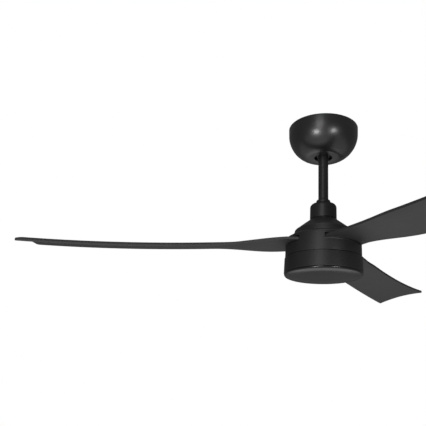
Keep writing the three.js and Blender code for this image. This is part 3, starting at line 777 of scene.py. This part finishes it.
def blade_ring(x, inner_share):
    """One closed slice. inner_share is 1 on the arc beside the motor, and 0 from the wall out."""
    outward = min(max((x - BLADE_WALL_X) / (BLADE_TIP_X - BLADE_WALL_X), 0), 1)
    twist = blend_step(x, TWIST_FROM_X, TWIST_TO_X)
    halfway = 4 * outward * (1 - outward)
    half_width = between(ROOT_HALF_WIDTH, TIP_HALF_WIDTH, outward) - WAIST * halfway
    from_tip = BLADE_TIP_X - x
    flare = FLARE * (1 - blend_step(x, FLARE_FROM_X, FLARE_TO_X))
    leading = -half_width - flare + corner_inset(from_tip, LEADING_TIP_ROUNDING)
    trailing = half_width - corner_inset(from_tip, TRAILING_TIP_ROUNDING)
    middle = between(BLADE_ROOT_Z, TIP_Z, outward) - SAG * halfway
    half_thickness = BLADE_HALF_THICKNESS - corner_inset(from_tip, BLADE_EDGE_RADIUS)
    slope = math.tan(PITCH_SLOPE * twist)

    def point(y, above):
        arch = ARCH * twist * (1 - (y / half_width) ** 2)
        arc_x = math.sqrt(BLADE_INNER_RADIUS**2 - (y + BLADE_OFFSET) ** 2) if inner_share else 0
        across = between(x, arc_x, inner_share) - TIP_RAKE * y * outward
        return Vector((across, y + BLADE_OFFSET, middle - y * slope + arch + above)) * MM

    edge = blade_profile()
    chord_steps = 28
    over = [(leading + inset, half_thickness - drop) for inset, drop in reversed(edge)]
    for i in range(1, chord_steps):
        y = between(leading + BLADE_EDGE_RADIUS, trailing - BLADE_EDGE_RADIUS, i / chord_steps)
        over.append((y, half_thickness))
    over += [(trailing - inset, half_thickness - drop) for inset, drop in edge]
    return [point(y, above) for y, above in over] + [point(y, -above) for y, above in reversed(over)]


def blade_stations():
    stations = [(BLADE_WALL_X, 1 - k / ROOT_STATIONS) for k in range(ROOT_STATIONS)]
    for x in range(BLADE_WALL_X, LAST_EVEN_STATION_X, STATION_STEP):
        stations.append((x, 0))
    for distance in TIP_STATIONS:
        stations.append((BLADE_TIP_X - distance, 0))
    return stations


def fill_blade(made):
    rings = []
    for x, inner_share in blade_stations():
        rings.append([made.verts.new(p) for p in blade_ring(x, inner_share)])
    count = len(rings[0])
    for here, there in zip(rings, rings[1:]):
        for i in range(count):
            n = (i + 1) % count
            made.faces.new((here[i], here[n], there[n], there[i]))
    for ring in (rings[0], rings[-1]):
        for i in range(count // 2 - 1):
            opposite = count - 1 - i
            made.faces.new((ring[i], ring[i + 1], ring[opposite - 1], ring[opposite]))


def make_blades():
    for k in range(BLADE_COUNT):
        piece = piece_from(f"blade_{k + 1}_moulding", fill_blade)

        def screw_holes(made):
            for angle in BLADE_SCREW_ANGLES:
                place = spin(angle) @ shift(BLADE_SCREW_ORBIT, 0, 0)
                add_peg(made, BLADE_HOLE_RADIUS, BLADE_HOLE_LOW_Z, BLADE_HOLE_HIGH_Z, place)

        cut(piece, screw_holes)
        piece.data.transform(spin(blade_azimuth(k)))
        finish_piece(piece, f"blade_{k + 1}")
        for i, angle in enumerate(BLADE_SCREW_ANGLES):
            node = f"blade_{k + 1}_screw_{i + 1}"
            seat = BLADE_ROOT_Z + BLADE_HALF_THICKNESS + GAP
            place = spin(blade_azimuth(k) + angle) @ shift(BLADE_SCREW_ORBIT, 0, seat) @ FACING_DOWN
            finish_piece(screw(node + "_pan", place, **BLADE_SCREW), node)


# ---- Lower housing and light -----------------------------------------------------------------

LUG_COUNT = 3
SKIRT_AZIMUTHS = [math.pi / 2 + k * FULL_TURN / LUG_COUNT for k in range(LUG_COUNT)]
LUG_ORBIT = 75
LUG_HALF_WIDTH = 6
LUG_HOLE_RADIUS = 1.9
LUG_HOLE_LOW_Z = -320
LUG_HOLE_HIGH_Z = -300
LUG_LOW_Z = -309.5
LUG_HIGH_Z = -307.3
LEDGE_LOW_Z = -331
LEDGE_HIGH_Z = -328.8
EAR_LOW_Z = -328.4
EAR_HIGH_Z = -326.2
SKIRT_SCREW = {"shank": 1.5, "head": 3.2, "head_height": 1.8, "length": 4.2}
SKIRT_SCREW_SEAT_Z = -309.8
BAYONET_SPAN = math.radians(24)


def make_skirt():
    outline = [
        (81.9, -303.5, 0.3), (83.1, -335.9, 0.4), (83.9, -336.5, 0.2), (84.6, -336.5, 0.4),
        (85.1, -335.7, 0.6), (83.9, -304.1, 0.5), (83.3, -303.5, 0.4),
    ]
    shell = turned("skirt_shell", outline, LARGE_RING_SEGMENTS)

    lug = pad_corners(70, -LUG_HALF_WIDTH, 82.6, LUG_HALF_WIDTH, 0.3)
    ledge = sector_corners(80, 83.8, BAYONET_SPAN)

    def lugs(made):
        for azimuth in SKIRT_AZIMUTHS:
            add_prism(made, lug, LUG_LOW_Z, LUG_HIGH_Z, spin(azimuth))
            add_prism(made, ledge, LEDGE_LOW_Z, LEDGE_HIGH_Z, spin(azimuth))

    def holes(made):
        for azimuth in SKIRT_AZIMUTHS:
            place = spin(azimuth) @ shift(LUG_ORBIT, 0, 0)
            add_peg(made, LUG_HOLE_RADIUS, LUG_HOLE_LOW_Z, LUG_HOLE_HIGH_Z, place)

    finish_piece(cut(join(shell, lugs), holes), "skirt")
    for k, azimuth in enumerate(SKIRT_AZIMUTHS):
        node = f"skirt_screw_{k + 1}"
        place = spin(azimuth) @ shift(LUG_ORBIT, 0, SKIRT_SCREW_SEAT_Z)
        finish_piece(screw(node + "_pan", place, **SKIRT_SCREW), node)


def make_light_cover():
    outline = [
        (0, -340.6, 0), (77.2, -339.2, 1.0), (77.2, -326, 0.3), (79.2, -326, 0.3),
        (79.2, -336.9, 0.3), (84.2, -336.9, 0.3), (84.6, -337.3, 0.3),
        *arc(80.6, -338.0, 4.0, 0, -68, 12),
        (50.8, -342.3, 20), (0, -342.6, 0),
    ]
    shell = turned("light_cover_dish", outline, LARGE_RING_SEGMENTS)

    ear = sector_corners(78.4, 81.2, BAYONET_SPAN)

    def ears(made):
        for azimuth in SKIRT_AZIMUTHS:
            add_prism(made, ear, EAR_LOW_Z, EAR_HIGH_Z, spin(azimuth))

    finish_piece(join(shell, ears), "light_cover")


make_canopy()
make_rod()
make_coupling_cover()
make_upper_housing()
make_blades()
make_skirt()
make_light_cover()

# ---- Carried-over nodes ----------------------------------------------------------------------

for name, node in frame["nodes"].items():
    node.data.materials.clear()
    node.data.materials.append(SLOT_MATERIALS[SLOT_OF_NODE[name]])

# ---- Works behind the covers -----------------------------------------------------------------

EDGE_WIDTHS = {
    "hanger_bracket": 0.35,
    "terminal_block": 0.4,
    "remote_receiver": 0.8,
    "ball_seat_liner": 0.15,
    "yoke": 0.3,
    "stator_core": 0.2,
    "motor_controller": 0.2,
    "base_plate": 0.2,
    "shaft_nut": 0.3,
    "led_driver": 0.5,
    "led_tray": 0.2,
    "led_board": 0.15,
    "rotor_bell": 0.4,
    "magnet_ring": 0.3,
    "rotor_end_plate": 0.3,
    "bearing_upper": 0.3,
    "bearing_lower": 0.3,
    "hanger_ball": 0.3,
    "motor_shaft": 0.2,
    "winding_upper": 0.3,
    "winding_lower": 0.3,
    "ball_pin": 0.3,
    "yoke_pin": 0.3,
}

for node, edge_width in EDGE_WIDTHS.items():
    finish_piece(softened(node, edge_width), node)

# ---- Stage and light -------------------------------------------------------------------------

FLOOR_Z = -2.4
FLOOR_RADIUS = 5.0
FLOOR_THICKNESS = 0.02
FLOOR_GLOW = 0.22
WORLD_SEEN = 1.0
WORLD_FELT = 0.115


def make_world(seen, felt):
    """White to the eye, and dimmer as a light on the fan."""
    world = bpy.data.worlds.new("studio")
    scene.world = world
    world.use_nodes = True
    tree = world.node_tree
    background = tree.nodes["Background"]
    background.inputs["Color"].default_value = (1, 1, 1, 1)
    path = tree.nodes.new("ShaderNodeLightPath")
    level = tree.nodes.new("ShaderNodeMapRange")
    level.inputs["To Min"].default_value = felt
    level.inputs["To Max"].default_value = seen
    tree.links.new(path.outputs["Is Camera Ray"], level.inputs["Value"])
    tree.links.new(level.outputs["Result"], background.inputs["Strength"])
    scene.view_settings.view_transform = "Standard"


def make_floor():
    def fill(made):
        low = (FLOOR_Z - FLOOR_THICKNESS) / MM
        add_peg(made, FLOOR_RADIUS / MM, low, FLOOR_Z / MM, segments=128)

    pale = surface("floor_pale", ((0.8, 0.8, 0.8), (0.83, 0.83, 0.83)), 0.7, grain=60)
    shader = pale.node_tree.nodes["Principled BSDF"]
    shader.inputs["Emission Color"].default_value = (1, 1, 1, 1)
    shader.inputs["Emission Strength"].default_value = FLOOR_GLOW
    floor = piece_from("floor", fill)
    floor.data.materials.append(pale)


def soft_light(name, position, target, width, height, watts):
    data = bpy.data.lights.new(name, "AREA")
    data.shape = "RECTANGLE"
    data.size = width
    data.size_y = height
    data.energy = watts
    light = bpy.data.objects.new(name, data)
    scene.collection.objects.link(light)
    light.location = position
    light.rotation_euler = (Vector(target) - Vector(position)).to_track_quat("-Z", "Y").to_euler()
    light.visible_camera = False


def around(azimuth, elevation, centre):
    """A place seen from centre; azimuth 0 is the camera's side, and positive is to its right."""
    a = math.radians(azimuth)
    e = math.radians(elevation)
    return Vector(centre) + LIGHT_DISTANCE * Vector((
        math.sin(a) * math.cos(e), -math.cos(a) * math.cos(e), math.sin(e),
    ))


CANOPY_CENTRE = (0, 0, -0.04)
HOUSING_CENTRE = (0, 0, -0.3)
LIGHT_DISTANCE = 2.6
make_world(WORLD_SEEN, WORLD_FELT)
make_floor()
# Each light: where it stands, what it faces, its width and height in metres, and its power.
soft_light("key_left", around(-23, -23, CANOPY_CENTRE), CANOPY_CENTRE, 0.55, 0.55, 17)
soft_light("key_right", around(35, -19, CANOPY_CENTRE), CANOPY_CENTRE, 0.55, 0.55, 15)
soft_light("front_strip", around(-11, 14, HOUSING_CENTRE), HOUSING_CENTRE, 0.9, 1.8, 11)
soft_light("overhead", (-0.05, -0.5, 2.2), (0, 0, -0.23), 0.6, 0.6, 10)
soft_light("under_back", (0.15, 1.5, -1.9), (0.15, 0.35, -0.28), 1.7, 1.7, 4)
